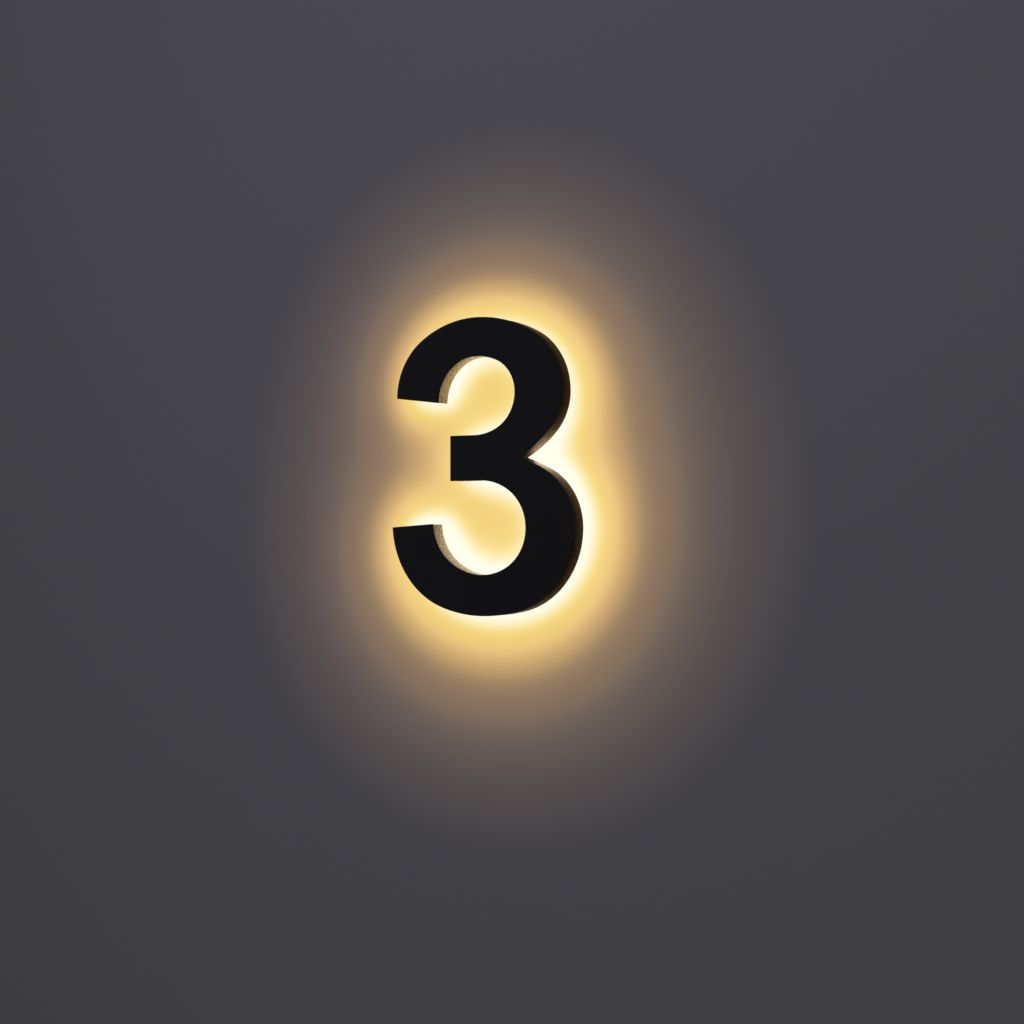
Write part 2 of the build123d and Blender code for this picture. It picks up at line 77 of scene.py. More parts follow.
def biarc(start, start_heading, end, end_heading, lead):
    """Two tangent arcs from start to end, each as (start, direction, end).

    The legs of the control triangle run along the two headings, the first one lead times
    the second; the arcs meet on the line between the legs' ends, divided the same way.
    """
    chord = end - start
    leave, arrive = unit(start_heading), unit(end_heading)
    square = 2 * lead * (1 - leave @ arrive)
    linear = 2 * chord @ (leave * lead + arrive)
    constant = chord @ chord
    second_leg = 2 * constant / (linear + np.sqrt(linear ** 2 + 4 * square * constant))
    first_corner = start + leave * lead * second_leg
    second_corner = end - arrive * second_leg
    middle = second_corner - first_corner
    joint = first_corner + middle * lead / (lead + 1)
    return [(start, leave, joint), (joint, middle / np.linalg.norm(middle), end)]


def smooth_run(*stations):
    """Arcs through stations of (x mm, z mm, heading) or (x mm, z mm, heading, lead)."""
    arcs = []
    for before, after in zip(stations, stations[1:]):
        lead = after[3] if len(after) > 3 else 1.0
        start, end = np.array(before[:2]) * millimetre, np.array(after[:2]) * millimetre
        arcs += biarc(start, before[2], end, after[2], lead)
    return arcs


# A straight run is an arc of very little sweep, and its last point may miss its end by a hair.
least_half_sweep, end_slack = 1e-7, 1e-9


def along_run(arcs, distances):
    """Points of a run at distances along it, and the run's directions there.

    Half an arc's sweep is the angle from its first direction to its chord.  A point that
    lies a share s along the arc is seen from the start under s times that angle, at the
    chord's length times the ratio of the two sines.
    """
    points, directions, done = [], [], 0.0
    for start, leave, end in arcs:
        chord = end - start
        half = turn_between(leave, chord)
        half = half if abs(half) > least_half_sweep else least_half_sweep
        length = np.linalg.norm(chord) * half / np.sin(half)
        share = (distances - done) / length
        share = share[(share >= 0) & (share <= 1 + end_slack)]
        reach = np.linalg.norm(chord) * np.sin(share * half) / np.sin(half)
        points.append(start + turned_by(leave, share * half) * reach[:, None])
        directions.append(turned_by(leave, 2 * share * half))
        done += length
    return np.concatenate(points), np.concatenate(directions)


def run_length(arcs):
    """The length of a run: each chord times its half sweep over the sine of that."""
    total = 0.0
    for start, leave, end in arcs:
        chord = end - start
        half = turn_between(leave, chord)
        total += np.linalg.norm(chord) / np.sinc(half / np.pi)
    return total


def straight(start, end):
    """A straight run between two points in millimetres, as one flat arc."""
    start, end = np.array(start) * millimetre, np.array(end) * millimetre
    return [(start, (end - start) / np.linalg.norm(end - start), end)]


# The seven runs of the outline between its sharp corners, clockwise from the upper arm.
upper_outer, upper_inner = (-135.3, 95.635), (-67.3, 87.165)
lower_outer, lower_inner = (-142.65, -80.534), (-76.15, -76.466)
bar_left, bar_foot, bar_head = -47.3, -19.0, 42.0
waist = (62.5, 11.0)
runs = [
    smooth_run((*upper_outer, 90), (-7, 200, 0), (128, 97.5, -90, 0.8), (*waist, 208, 1.2)),
    smooth_run((*waist, -20), (147, -83, -90, 0.35), (4, -200, 180, 3.1),
               (*lower_outer, 93, 0.4)),
    straight(lower_outer, lower_inner),
    smooth_run((*lower_inner, -87), (4, -145, 0), (72, -83, 90, 0.6), (1, bar_foot, 180, 1.4))
    + straight((1, bar_foot), (bar_left, bar_foot)),
    straight((bar_left, bar_foot), (bar_left, bar_head)),
    straight((bar_left, bar_head), (-8, bar_head))
    + smooth_run((-8, bar_head, 0), (55, 97.5, 90, 0.6), (-7, 147.5, 180, 1.9),
                 (*upper_inner, -90)),
    straight(upper_inner, upper_outer),
]
point_spacing = 0.002
corner_gap = 0.0035
corner_points = 9

run_samples = []
for arcs in runs:
    length = run_length(arcs)
    count = int(np.ceil((length - 2 * corner_gap) / point_spacing)) + 1
    run_samples.append(along_run(arcs, np.linspace(corner_gap, length - corner_gap, count)))


def rounded_corner(corner, arrive, leave, inset, bend):
    """A corner moved inwards and rounded: points at equal turns of a tangent arc.

    The mitre of the two inward normals gives the moved corner, and the arc's ends lie the
    bend radius times the tangent of half the turn away from it.
    """
    first, second = right_of(arrive), right_of(leave)
    corner = corner + (first + second) * inset / (1 + first @ second)
    turn = turn_between(arrive, leave)
    start = corner - arrive * bend * np.tan(abs(turn) / 2)
    share = np.linspace(0, 1, corner_points)
    reach = 2 * bend * np.sin(share * abs(turn) / 2)
    return start + turned_by(arrive, share * turn / 2) * reach[:, None]


def ring(inset, convex_bend, hollow_bend):
    """The whole outline moved inwards, with rounded corners: as many points each time."""
    parts = []
    for number, (points, directions) in enumerate(run_samples):
        start, leave, _ = runs[number][0]
        arrive = run_samples[number - 1][1][-1]
        bend = hollow_bend if turn_between(arrive, leave) > 0 else convex_bend
        parts.append(rounded_corner(start, arrive, directions[0], inset, bend))
        parts.append(points + right_of(directions) * inset)
    return np.concatenate(parts)


corner_starts = np.cumsum([0] + [corner_points + len(p) for p, _ in run_samples])


def raised(points, heights):
    """Drawing points (x, z) at heights in front of the wall, as (x, y, z)."""
    heights = np.broadcast_to(heights, points.shape[:-1])
    return np.stack([points[..., 0], -heights, points[..., 1]], axis=-1)


def grid_faces(rows, columns, wrap_rows=False, wrap_columns=False, first=0):
    """Quads of a grid of points stored row by row, joined up at the edges that wrap."""
    row = np.arange(rows if wrap_rows else rows - 1)[:, None]
    column = np.arange(columns if wrap_columns else columns - 1)[None, :]
    next_row, next_column = (row + 1) % rows, (column + 1) % columns
    corners = [row * columns + column, row * columns + next_column,
               next_row * columns + next_column, next_row * columns + column]
    return (np.stack(corners, axis=-1).reshape(-1, 4) + first).tolist()


def stand_in_scene(name, data):
    """A mesh, lamp or camera as an object of the scene, at the origin."""
    piece = bpy.data.objects.new(name, data)
    bpy.context.scene.collection.objects.link(piece)
    return piece


sharp_edge = 40
same_point = 1e-7


def make_piece(name, points, faces, sharp_angle=sharp_edge):
    """A closed mesh from points and faces, facing outwards.

    It is smooth up to an angle, and its many-cornered caps are flat.
    """
    shape = bmesh.new()
    mesh = bpy.data.meshes.new(name)
    mesh.from_pydata(np.asarray(points).reshape(-1, 3).tolist(), [], faces)
    shape.from_mesh(mesh)
    bmesh.ops.remove_doubles(shape, verts=shape.verts, dist=same_point)
    bmesh.ops.recalc_face_normals(shape, faces=shape.faces)
    shape.to_mesh(mesh)
    shape.free()
    mesh.set_sharp_from_angle(angle=np.radians(sharp_angle))
    corners = np.empty(len(mesh.polygons), dtype=np.int32)
    mesh.polygons.foreach_get("loop_total", corners)
    mesh.polygons.foreach_set("use_smooth", corners <= 4)
    return stand_in_scene(name, mesh)


def new_material(name, **inputs):
    """A Principled material, with its constant inputs set on the shader itself."""
    material = bpy.data.materials.new(name)
    material.use_nodes = True
    shader = material.node_tree.nodes["Principled BSDF"]
    for label, value in inputs.items():
        socket = shader.inputs[label.replace("_", " ")]
        socket.default_value = (*value, 1.0) if isinstance(value, tuple) else value
    return material


def add_node(material, kind, settings=(), **inputs):
    """A node, with its settings and inputs; an input that is a socket is linked to it."""
    node = material.node_tree.nodes.new(kind)
    for label, value in settings:
        setattr(node, label, value)
    for label, value in inputs.items():
        number = label[1:]
        socket = node.inputs[int(number) if number.isdigit() else label.replace("_", " ")]
        if isinstance(value, bpy.types.NodeSocket):
            material.node_tree.links.new(value, socket)
        else:
            socket.default_value = value
    return node


def object_place(material):
    """The object-coordinate socket that every pattern is read from."""
    return add_node(material, "ShaderNodeTexCoord").outputs["Object"]


def noise(material, place, scale, detail=2.0, roughness=0.5):
    """A noise pattern: scale is in features a metre."""
    node = add_node(material, "ShaderNodeTexNoise", Vector=place, Scale=scale, Detail=detail,
                    Roughness=roughness)
    return node.outputs["Fac"]


def level_between(material, factor, low, high):
    """A level that goes from low to high as the factor goes from 0 to 1."""
    node = add_node(material, "ShaderNodeMapRange", Value=factor, To_Min=low, To_Max=high)
    return node.outputs["Result"]


def colour_between(material, factor, *stops):
    """A colour ramp through stops of (place, colour), smooth where they are many."""
    node = add_node(material, "ShaderNodeValToRGB", Fac=factor)
    ramp = node.color_ramp
    first, *between, last = stops
    for element, (place, colour) in zip(ramp.elements[:], (first, last)):
        element.position, element.color = place, (*colour, 1.0)
    for place, colour in between:
        ramp.elements.new(place).color = (*colour, 1.0)
    ramp.interpolation = "CARDINAL" if len(stops) > 3 else "LINEAR"
    return node.outputs["Color"]


def connect(material, socket, label):
    """A socket linked to the shader's input of that name."""
    shader = material.node_tree.nodes["Principled BSDF"]
    material.node_tree.links.new(socket, shader.inputs[label])


def vary_roughness(material, pattern, low, high):
    """Roughness that follows a pattern from low to high."""
    connect(material, level_between(material, pattern, low, high), "Roughness")


def vary_colour(material, pattern, *stops):
    """A base colour that follows a pattern through its stops."""
    connect(material, colour_between(material, pattern, *stops), "Base Color")


def relief(material, height, depth, strength):
    """Bump from a height pattern; depth is the relief in metres."""
    bump = add_node(material, "ShaderNodeBump", Strength=strength, Distance=depth,
                    Height=height)
    connect(material, bump.outputs["Normal"], "Normal")


plate_front, plate_rear, edge_break = 0.044, 0.042, 0.0004
plate_bend, plate_hollow, least_bend = 0.00045, 0.0002, 0.00005

edge_turn = np.radians(np.linspace(0, 90, 5))
plate_insets = np.concatenate([[0], edge_break * (1 - np.cos(edge_turn))])
plate_heights = np.concatenate(
    [[plate_rear], plate_front - edge_break + edge_break * np.sin(edge_turn)]
)
plate_rings = np.stack([
    raised(ring(inset, max(plate_bend - inset, least_bend), plate_hollow + inset), height)
    for inset, height in zip(plate_insets, plate_heights)
])
ring_count, ring_size = plate_rings.shape[:2]
plate_numbers = np.arange(ring_count * ring_size).reshape(ring_count, ring_size)
plate_caps = [plate_numbers[0].tolist(), plate_numbers[-1].tolist()]
plate = make_piece(
    "plate_matt_black",
    plate_rings,
    grid_faces(ring_count, ring_size, wrap_columns=True) + plate_caps,
)

face_coat = new_material(
    "matt_black_powder_coat", Base_Color=(0.0036, 0.0033, 0.0050), Roughness=0.5,
    Specular_IOR_Level=0.05,
)
place = object_place(face_coat)
vary_colour(face_coat, noise(face_coat, place, 9.0, detail=3.0),
            (0.3, (0.0034, 0.0030, 0.0048)), (0.7, (0.0050, 0.0045, 0.0068)))
vary_roughness(face_coat, noise(face_coat, place, 420.0, detail=1.0), 0.5, 0.62)
relief(face_coat, noise(face_coat, place, 1500.0), 0.00003, strength=0.25)
plate.data.materials.append(face_coat)
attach(plate, "root")
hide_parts("face_plate")


# ---------------------------------------------------------------- returns
# Two strips of 1 mm sheet, folded on edge round the outline and welded under the plate.
# They meet at the arms' inner corners, and carry a fine-grained dark bronze coat.  Its
# colour is darker beside the plate, as painted shade, and the inner strip's is painted
# lighter, as painted light of the halo in the counters.
strip_outside, strip_inside, strip_rear = 0.0005, 0.0015, 0.020
fold_radius, lip_round = 0.0013, 0.0002
upper_seam, lower_seam = 6, 3

lip_turn = np.radians(np.linspace(0, 90, 4))
strip_insets = np.concatenate([
    [strip_outside], strip_outside + lip_round * (1 - np.cos(lip_turn)),
    (strip_inside - lip_round * (1 - np.cos(lip_turn)))[::-1], [strip_inside],
])
strip_heights = np.concatenate([
    [plate_rear], strip_rear + lip_round * (1 - np.sin(lip_turn)),
    (strip_rear + lip_round * (1 - np.sin(lip_turn)))[::-1], [plate_rear],
])
strip_rings = np.stack([
    raised(ring(inset, fold_radius - (inset - strip_outside),
                fold_radius - (strip_inside - inset)), height)
    for inset, height in zip(strip_insets, strip_heights)
])
upper_cut = corner_starts[upper_seam] + corner_points // 2
lower_cut = corner_starts[lower_seam] + corner_points // 2
all_points = np.arange(strip_rings.shape[1])


def make_strip(name, path):
    """A strip: the lip profile's loop of points carried along part of the outline."""
    profile = strip_rings[:, path]
    rows, columns = profile.shape[:2]
    ends = [[row * columns + column for row in range(rows)] for column in (0, columns - 1)]
    return make_piece(name, profile, grid_faces(rows, columns, wrap_rows=True) + ends)


outer_strip = make_strip(
    "return_strip_outer",
    np.concatenate([all_points[upper_cut:], all_points[:lower_cut + 1]]),
)
inner_strip = make_strip("return_strip_inner", all_points[lower_cut:upper_cut + 1])

# Two drain holes are punched through the outer strip at the numeral's lowest part.
drain_places, drain_height, drain_radius, drain_around = (-0.016, 0.024), 0.031, 0.002, 32
drain_low, drain_high = -0.203, -0.193

angles = np.linspace(0, 2 * np.pi, drain_around, endpoint=False)
punch_points, punch_faces = [], []
for number, place in enumerate(drain_places):
    circle = np.stack([place + drain_radius * np.cos(angles),
                       drain_radius * np.sin(angles) - drain_height], axis=-1)
    for level in (drain_low, drain_high):
        punch_points.append(np.column_stack([circle, np.full(drain_around, level)]))
    first = number * 2 * drain_around
    punch_faces += grid_faces(2, drain_around, wrap_columns=True, first=first)
    punch_faces += [list(range(start, start + drain_around))
                    for start in (first, first + drain_around)]
punch = make_piece("drain_punch", np.concatenate(punch_points), punch_faces)
punching = outer_strip.modifiers.new("drain_holes", "BOOLEAN")
punching.operation, punching.solver, punching.object = "DIFFERENCE", "EXACT", punch
finished = outer_strip.evaluated_get(bpy.context.evaluated_depsgraph_get())
outer_strip.data = bpy.data.meshes.new_from_object(finished)
outer_strip.modifiers.clear()
bpy.data.objects.remove(punch)
outer_strip.data.shade_smooth()
outer_strip.data.set_sharp_from_angle(angle=np.radians(sharp_edge))


def grained_coat(name, dark, middle, light, gloss, overspray):
    """A textured metallic coat: one rough noise of two octaves gives its fine grain.

    Painted shade: the colour falls to that share beside the plate, full at the wall edge.
    """
    coat = new_material(name, Base_Color=middle, Metallic=0.25, Roughness=0.5,
                        Specular_IOR_Level=gloss, Specular_Tint=(1.0, 0.66, 0.36))
    place = object_place(coat)
    grain = noise(coat, place, 760.0, detail=1.0, roughness=0.7)
    colour = colour_between(coat, grain, (0.40, dark), (0.51, middle), (0.63, light))
    # Painted shade: the colour is scaled down beside the plate and rises to full at the wall
    # edge.
    depth = add_node(coat, "ShaderNodeSeparateXYZ", Vector=place).outputs["Y"]
    clearing = add_node(coat, "ShaderNodeMapRange", Value=depth, From_Min=-plate_rear,
                        From_Max=-strip_rear, To_Min=overspray, To_Max=1.0)
    shaded = add_node(coat, "ShaderNodeVectorMath", [("operation", "SCALE")], _0=colour,
                      Scale=clearing.outputs["Result"])
    connect(coat, shaded.outputs["Vector"], "Base Color")
    vary_roughness(coat, grain, 0.62, 0.4)
    relief(coat, grain, 0.0004, strength=0.9)
    return coat


outer_coat = grained_coat("grained_bronze_coat", (0.0052, 0.0035, 0.0016),
                          (0.024, 0.0162, 0.0074), (0.18, 0.120, 0.055), 0.02, 0.06)
# The inner strip's coat is the same bronze made lighter: painted light of the halo that fills
# the counters, with milder painted shade beside the plate.
inner_coat = grained_coat("grained_bronze_coat_painted_lighter", (0.14, 0.101, 0.060), (0.42, 0.315, 0.195),
                          (0.84, 0.66, 0.44), 0.15, 0.62)
for strip, node, coat in ((outer_strip, "return_outer", outer_coat),
                          (inner_strip, "return_inner", inner_coat)):
    strip.data.materials.append(coat)
    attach(strip, "root")
    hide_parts(node)


# ---------------------------------------------------------------- opal panel
# A 3 mm opal polycarbonate sheet that drops between the returns from the wall side.  The
# modules light it from inside, with a soft bright spot over each lens.
def flat_points(mesh):
    """A mesh's points as the street sees them, as rows of (x, z)."""
    points = np.empty(len(mesh.vertices) * 3)
    mesh.vertices.foreach_get("co", points)
    return points.reshape(-1, 3)[:, [0, 2]]


def places(node, reach):
    """Centres (x, z) of a node's like pieces: points within reach of one belong to it."""
    flat = flat_points(cad[node].data)
    centres = []
    while len(flat):
        near = np.linalg.norm(flat - flat[0], axis=1) < reach
        centres.append((flat[near].min(0) + flat[near].max(0)) / 2)
        flat = flat[~near]
    return np.array(centres)


def write_pattern(mesh, name, values):
    """Keeps one number for each point of a mesh under a name."""
    layer = mesh.attributes.new(name, "FLOAT", "POINT")
    layer.data.foreach_set("value", values.astype(np.float32))


def read_pattern(material, name):
    """The socket of the numbers that a mesh keeps under a name."""
    node = add_node(material, "ShaderNodeAttribute", [("attribute_name", name)])
    return node.outputs["Fac"]


lens_places = places("led_lenses", 0.009)
lens_gap = 0.010
panel_cell, panel_merge = 0.004, 1e-6
panel_dim, panel_bright = 0.22, 0.48

panel_shape = bmesh.new()
panel_shape.from_mesh(cad["back_panel"].data)
bmesh.ops.remove_doubles(panel_shape, verts=panel_shape.verts, dist=panel_merge)
low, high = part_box("back_panel")
for axis, normal in ((0, (1, 0, 0)), (2, (0, 0, 1))):
    for level in np.arange(low[axis] + panel_cell, high[axis], panel_cell):
        parts = panel_shape.verts[:] + panel_shape.edges[:] + panel_shape.faces[:]
        point = [0.0, 0.0, 0.0]
        point[axis] = level
        bmesh.ops.bisect_plane(panel_shape, geom=parts, plane_co=point, plane_no=normal,
                               dist=panel_merge)
panel_mesh = bpy.data.meshes.new("panel_opal")
panel_shape.to_mesh(panel_mesh)
panel_shape.free()
panel_mesh.shade_smooth()
panel_mesh.set_sharp_from_angle(angle=np.radians(sharp_edge))

# Each lens adds its share as the fourth power of the gap over the slant distance.
square_distance = ((flat_points(panel_mesh)[:, None] - lens_places[None]) ** 2).sum(-1)
glow = ((lens_gap ** 2 / (square_distance + lens_gap ** 2)) ** 2).sum(1)
write_pattern(panel_mesh, "glow", glow)
panel = stand_in_scene("panel_opal", panel_mesh)

opal = new_material(
    "lit_opal_polycarbonate", Base_Color=(0.62, 0.58, 0.51), Roughness=0.32, IOR=1.58,
    Emission_Color=(1.0, 0.78, 0.5), Emission_Strength=0.35,
)
spots = read_pattern(opal, "glow")
connect(opal, colour_between(opal, spots, (0.0, (1.0, 0.60, 0.24)), (0.4, (1.0, 0.74, 0.38)),
                             (0.95, (1.0, 0.92, 0.70))), "Emission Color")
connect(opal, level_between(opal, spots, panel_dim, panel_bright), "Emission Strength")
relief(opal, noise(opal, object_place(opal), 900.0), 0.00002, strength=0.3)
panel.data.materials.append(opal)
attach(panel, "root")
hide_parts("back_panel")


# ---------------------------------------------------------------- lugs and bosses
# Pickled stainless pieces welded inside the shell: ten angle lugs on the returns, tapped
# for the panel's screws, and four hexagon bosses on the plate, tapped for the studs.
bare_metal = new_material(
    "pickled_stainless", Base_Color=(0.42, 0.42, 0.43), Metallic=1.0, Roughness=0.42,
)
place = object_place(bare_metal)
brushed = add_node(bare_metal, "ShaderNodeMapping", Vector=place, Scale=(60.0, 60.0, 2400.0))
streaks = noise(bare_metal, brushed.outputs["Vector"], 1.0, detail=3.0)
vary_roughness(bare_metal, streaks, 0.34, 0.5)
vary_colour(bare_metal, noise(bare_metal, place, 140.0),
            (0.3, (0.36, 0.36, 0.37)), (0.75, (0.48, 0.48, 0.49)))
relief(bare_metal, streaks, 0.00001, strength=0.3)


def dress_nodes(materials):
    """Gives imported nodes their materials, from a dictionary of both."""
    for name, material in materials.items():
        cad[name].data.materials.clear()
        cad[name].data.materials.append(material)


dress_nodes({"panel_lugs": bare_metal, "wall_bosses": bare_metal})


# ---------------------------------------------------------------- panel screws
# Ten M3 button-head screws of stainless steel with a hexagon socket, driven from the wall
# side through the panel into the lugs.
def hexagon_share(angles):
    """A regular hexagon's radius over its corner radius, at each angle."""
    folded = (angles + np.pi / 6) % (np.pi / 3) - np.pi / 6
    return np.cos(np.pi / 6) / np.cos(folded)


def turned_piece(centres, radii, heights, hexagon=(), around=48):
    """A profile turned round an axis square to the wall, at each centre.

    Angle is one parameter and the step along the profile the other.  Steps named in
    hexagon follow a hexagon's radius in place of a circle's.
    """
    angles = np.linspace(0, 2 * np.pi, around, endpoint=False)
    radii, heights = np.asarray(radii), np.asarray(heights)
    share = np.ones((len(radii), around))
    share[list(hexagon)] = hexagon_share(angles + np.pi / 6)
    reach = radii[:, None] * share
    spokes = np.stack([np.cos(angles), np.sin(angles)], axis=-1)
    points, faces = [], []
    for number, centre in enumerate(centres):
        flat = centre + reach[..., None] * spokes
        points.append(raised(flat, heights[:, None]))
        faces += grid_faces(len(radii), around, wrap_columns=True,
                            first=number * len(radii) * around)
    return np.concatenate([p.reshape(-1, 3) for p in points]), faces


screw_places = places("panel_screws", 0.007)
head_rear, head_seat, socket_floor = 0.01985, 0.0215, 0.02085
screw_end, screw_radius, head_radius, head_flat = 0.0285, 0.0015, 0.00285, 0.0017
socket_radius, socket_lead, lead_depth = 0.001, 0.0012, 0.00012
screw_tip_radius, screw_tip_length, dome_depth = 0.0011, 0.0004, 0.0011
dome = np.radians(np.linspace(0, 90, 7))
screw_radii = np.concatenate([
    [0, socket_radius, socket_radius, socket_lead],
    head_flat + (head_radius - head_flat) * np.sin(dome),
    [head_radius, screw_radius, screw_radius, screw_tip_radius, 0],
])
screw_heights = np.concatenate([
    [socket_floor, socket_floor, head_rear + lead_depth, head_rear],
    head_rear + dome_depth * (1 - np.cos(dome)),
    [head_seat, head_seat, screw_end - screw_tip_length, screw_end, screw_end],
])
screws = make_piece(
    "panel_screw_set", *turned_piece(screw_places, screw_radii, screw_heights, hexagon=(1, 2)),
    sharp_angle=32,
)
steel = new_material(
    "plain_stainless", Base_Color=(0.55, 0.55, 0.56), Metallic=1.0, Roughness=0.28,
)
place = object_place(steel)
vary_roughness(steel, noise(steel, place, 800.0, detail=3.0), 0.2, 0.42)
vary_colour(steel, noise(steel, place, 90.0),
            (0.3, (0.46, 0.46, 0.47)), (0.7, (0.60, 0.60, 0.61)))
relief(steel, noise(steel, place, 2600.0), 0.00001, strength=0.4)
screws.data.materials.append(steel)
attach(screws, "root")
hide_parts("panel_screws")


# ---------------------------------------------------------------- studs
# Four stainless studs: an M5 shank that screws into its boss, and an M6 wall end that is
# pushed into a resin-filled hole.  The thread is rolled and the tip is chamfered.
stud_places = places("wall_studs", 0.012)
shank_radius, wall_end_radius, shank_end, shank_chamfer = 0.0025, 0.003, 0.0375, 0.0003
wall_end_length, tip_chamfer = 0.035, 0.0008
thread_pitch, thread_depth, thread_steps = 0.001, 0.00055, 10
flank_steepness, crest_flat, thread_start = 1.35, 0.12, 0.5

thread_heights = -np.arange(0, wall_end_length - tip_chamfer, thread_pitch / thread_steps)
stud_around = 36
angles = np.linspace(0, 2 * np.pi, stud_around, endpoint=False)
spokes = np.stack([np.cos(angles), np.sin(angles)], axis=-1)


def make_stud_points(centre):
    """A stud's grid of points: rows along the axis, columns round it.

    In the thread the radius falls from the crest by a rounded saw-tooth of the axial
    distance in pitches less the angle in turns, and runs out smoothly at both ends.
    """
    phase = (-thread_heights[:, None] / thread_pitch - angles / (2 * np.pi)) % 1.0
    tooth = np.clip(flank_steepness * np.abs(2 * phase - 1) - crest_flat, 0, 1)
    turns_in = -thread_heights / thread_pitch
    fade = np.minimum(turns_in - thread_start, turns_in[-1] - turns_in)
    thread = wall_end_radius - thread_depth * tooth * np.clip(fade, 0, 1)[:, None]
    rows = [
        (shank_end, 0), (shank_end, shank_radius - shank_chamfer),
        (shank_end - shank_chamfer, shank_radius), (0.0, shank_radius),
    ]
    before = np.array([[radius] * stud_around for _, radius in rows])
    tip_radius = wall_end_radius - tip_chamfer
    after = np.array([[tip_radius] * stud_around, [0.0] * stud_around])
    reach = np.concatenate([before, thread, after])
    heights = np.concatenate([
        [height for height, _ in rows], thread_heights, [-wall_end_length, -wall_end_length],
    ])
    return raised(centre + reach[..., None] * spokes, heights[:, None])


stud_grids = np.stack([make_stud_points(centre) for centre in stud_places])
stud_faces = []
for number in range(len(stud_grids)):
    rows, columns = stud_grids.shape[1:3]
    stud_faces += grid_faces(rows, columns, wrap_columns=True, first=number * rows * columns)
studs = make_piece("wall_stud_set", stud_grids, stud_faces, sharp_angle=50)
studs.data.materials.append(steel)
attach(studs, "root")
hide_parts("wall_studs")


# ---------------------------------------------------------------- spacers
# Black nylon tubes, parted off a bar, that slide on over the studs' wall ends and hold the
# numeral 20 mm off the wall.  Both rims are chamfered.
spacer_radius, spacer_bore, spacer_length, rim_chamfer = 0.006, 0.00325, 0.020, 0.0005
bore_break = 0.0002
spacer_radii = [
    spacer_bore, spacer_bore + bore_break, spacer_radius - rim_chamfer, spacer_radius,
    spacer_radius, spacer_radius - rim_chamfer, spacer_bore + bore_break, spacer_bore,
    spacer_bore,
]
spacer_heights = [
    bore_break, 0, 0, rim_chamfer,
    spacer_length - rim_chamfer, spacer_length, spacer_length, spacer_length - bore_break,
    bore_break,
]
nylon = new_material("black_nylon", Base_Color=(0.028, 0.028, 0.03), Roughness=0.42)
place = object_place(nylon)
rings_of_cut = add_node(nylon, "ShaderNodeMapping", Vector=place, Scale=(20.0, 5200.0, 20.0))
turning = noise(nylon, rings_of_cut.outputs["Vector"], 1.0, detail=1.0)
vary_roughness(nylon, turning, 0.34, 0.5)
vary_colour(nylon, noise(nylon, place, 300.0),
            (0.3, (0.022, 0.022, 0.024)), (0.7, (0.038, 0.038, 0.040)))
relief(nylon, turning, 0.00003, strength=0.5)
for corner in ("upper_left", "upper_right", "lower_left", "lower_right"):
    low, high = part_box(f"spacer_{corner}")
    centre = np.array([low.x + high.x, low.z + high.z]) / 2
    tube = make_piece(f"spacer_tube_{corner}",
                      *turned_piece([centre], spacer_radii, spacer_heights, around=64),
                      sharp_angle=30)
    tube.data.materials.append(nylon)
    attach(tube, "root")
    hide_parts(f"spacer_{corner}")


# ---------------------------------------------------------------- washers
# Rubber sealing washers, squeezed a little between spacer and panel so that their rims
# bulge, and plain steel washers between the panel and the bosses.
washer_radius, washer_bore, washer_bulge = 0.007, 0.00255, 0.00024
washer_low, washer_high = 0.020, 0.0215
bulge = np.linspace(0, np.pi, 9)
washer_radii = np.concatenate([
    [washer_bore], washer_radius - washer_bulge * (1 - np.sin(bulge)),
    [washer_bore, washer_bore],
])
washer_heights = np.concatenate([
    [washer_low], washer_low + (washer_high - washer_low) * (1 - np.cos(bulge)) / 2,
    [washer_high, washer_low],
])
sealing = make_piece(
    "sealing_washer_set", *turned_piece(stud_places, washer_radii, washer_heights, around=64)
)
rubber = new_material("moulded_black_rubber", Base_Color=(0.018, 0.018, 0.018), Roughness=0.7)
place = object_place(rubber)
vary_roughness(rubber, noise(rubber, place, 500.0), 0.6, 0.8)
vary_colour(rubber, noise(rubber, place, 160.0),
            (0.3, (0.014, 0.014, 0.014)), (0.7, (0.026, 0.026, 0.025)))
relief(rubber, noise(rubber, place, 1800.0), 0.00003, strength=0.4)
sealing.data.materials.append(rubber)
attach(sealing, "root")
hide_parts("sealing_washers")
dress_nodes({"backing_washers": steel})


# ---------------------------------------------------------------- cable grommet
# A rubber bush snapped into the panel behind the bar: a neck between two rounded flanges,
# with a dished mouth and a moulded ring round it.
grommet_low, grommet_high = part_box("cable_grommet")
grommet_centre = np.array([grommet_low.x + grommet_high.x,
                           grommet_low.z + grommet_high.z]) / 2
bore, neck, flange, lip = 0.0025, 0.005, 0.0075, 0.0008
rear_end, rear_seat, front_seat, front_end = 0.019, 0.0215, 0.0245, 0.027
bore_round, dish_depth = 0.0003, 0.0002
ring_feet, ring_crest = (0.0043, 0.0051), (0.0045, 0.0049)
quarter = np.radians(np.linspace(0, 90, 6))
grommet_radii = np.concatenate([
    [bore, bore, bore + bore_round, ring_feet[0], *ring_crest, ring_feet[1]],
    flange - lip + lip * np.sin(quarter),
    [flange, neck, neck, flange],
    flange - lip + lip * np.cos(quarter),
    [bore + bore_round, bore, bore],
])
dish = rear_end + dish_depth
grommet_heights = np.concatenate([
    [front_end - bore_round, dish + bore_round, dish, dish, rear_end, rear_end, dish],
    dish + (lip - dish_depth) * (1 - np.cos(quarter)),
    [rear_seat, rear_seat, front_seat, front_seat],
    front_end - lip + lip * np.sin(quarter),
    [front_end, front_end - bore_round, front_end - bore_round],
])
grommet = make_piece(
    "inlet_grommet",
    *turned_piece([grommet_centre], grommet_radii, grommet_heights, around=72),
    sharp_angle=35,
)
grommet.data.materials.append(rubber)
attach(grommet, "root")
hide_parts("cable_grommet")


